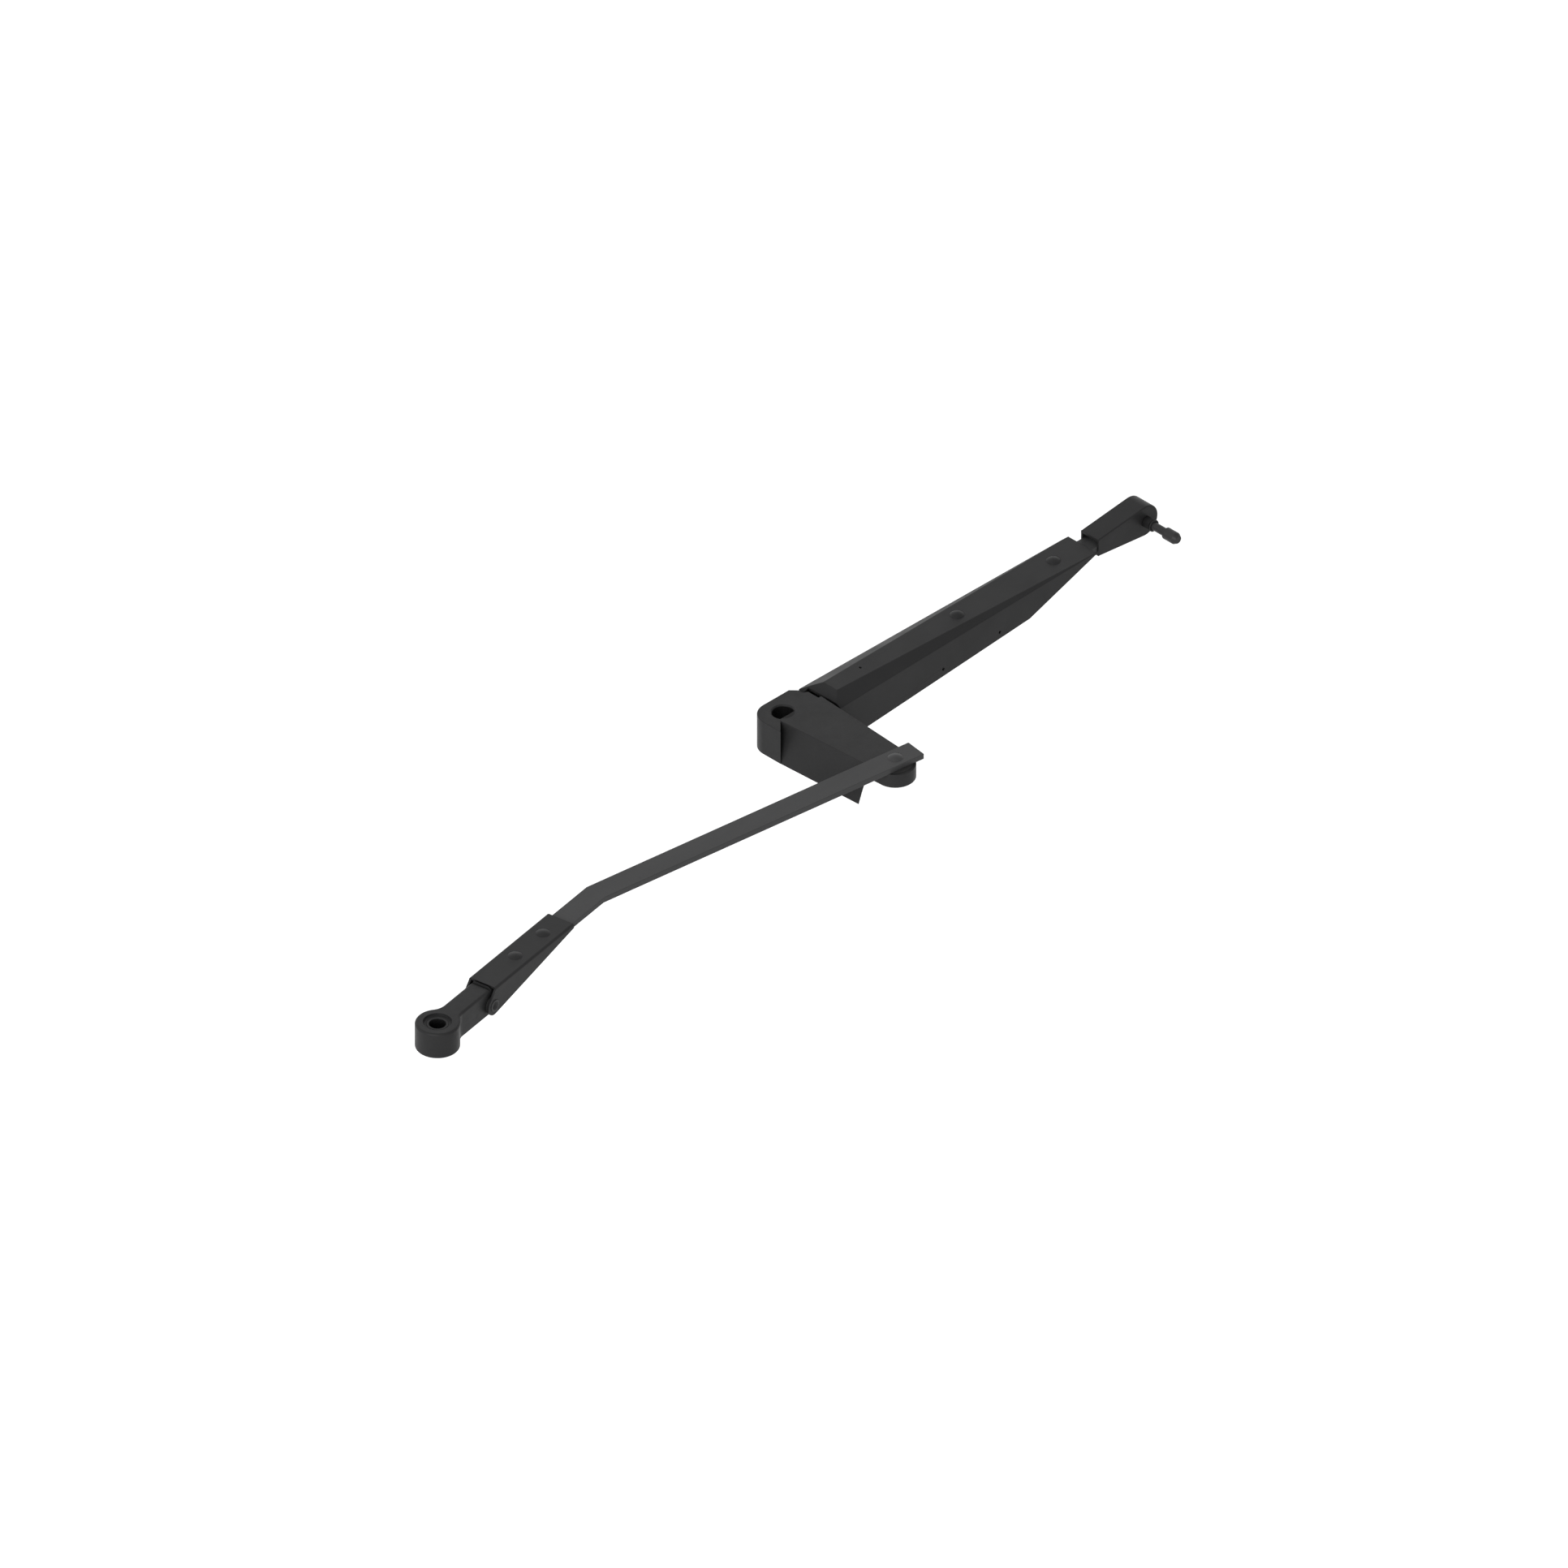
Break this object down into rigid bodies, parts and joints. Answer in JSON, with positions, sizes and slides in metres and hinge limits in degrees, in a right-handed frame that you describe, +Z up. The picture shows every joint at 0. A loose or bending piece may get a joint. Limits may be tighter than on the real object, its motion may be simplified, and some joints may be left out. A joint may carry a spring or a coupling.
{
  "type": "articulated gate opener arm",
  "caption": "Articulated opener arm: a drive lever with a D bore, a sprung channel arm with a side pin at its tip, and a dog-leg link bar with a hinged eye.",
  "frame": {"origin": "on the D bore's axis, level with the underside of the drive head", "axes": "+X along the channel arm from the drive head to its tip, +Z up along the D bore's axis, and the lever reaches towards -Y"},
  "size_m": [0.9233, 0.1506, 0.0522],
  "materials": {
    "head_coat": "satin charcoal coat on a casting",
    "arm_coat": "satin charcoal coat on pressed sheet",
    "bar_coat": "satin grey coat on flat bar",
    "pin_coat": "satin blackened turned steel",
    "eye_bush_coat": "satin blackened bush",
    "steel": "brushed",
    "spring_steel": "drawn wire",
    "bronze": "sintered bearing bronze",
    "polymer": "matte"
  },
  "bodies": {
    "head": {"drive_head": "head_coat", "bore_set_screw": "steel", "pivot_bush": "bronze", "pivot_washer": "polymer", "spring_pin": "steel", "arm_hinge_bushes": "bronze"},
    "arm": {"arm_channel": "arm_coat", "arm_hinge_pins": "steel", "arm_bar": "bar_coat", "arm_rivets": "arm_coat", "arm_spring": "spring_steel", "tip_socket": "head_coat", "socket_screws": "steel", "tip_collar": "arm_coat", "tip_pin": "pin_coat"},
    "spring_link": {"spring_link": "steel"},
    "link": {"link_bar": "bar_coat", "pivot_stud": "bar_coat", "pivot_snap_ring": "spring_steel", "link_retainer": "arm_coat", "retainer_rivets": "arm_coat", "eye_hinge_pin": "pin_coat", "eye_hinge_washers": "polymer"},
    "eye": {"eye_head": "head_coat", "eye_hinge_bush": "bronze", "eye_bush": "eye_bush_coat"}
  },
  "joints": [
    {"name": "arm_lift", "type": "hinge", "parent": "head", "child": "arm", "pos_m": [0.051, 0, 0.007], "axis": [0, -1, 0], "range_deg": [0, 45]},
    {"name": "spring_link_turn", "type": "hinge", "parent": "arm", "child": "spring_link", "pos_m": [0.07884, 0, 0.00997], "axis": [0, -1, 0], "range_deg": [-10, 0]},
    {"name": "link_pivot", "type": "hinge", "parent": "head", "child": "link", "pos_m": [0.013, -0.112, 0.031], "axis": [0, 0, 1], "range_deg": [-60, 60]},
    {"name": "eye_tilt", "type": "hinge", "parent": "link", "child": "eye", "pos_m": [-0.43793, -0.10139, 0.0222], "axis": [0.1702, -0.9854, 0], "range_deg": [0, 40]}
  ],
  "couplings": [
    {"joint": "spring_link_turn", "follows": "arm_lift", "ratio": -0.2197}
  ]
}
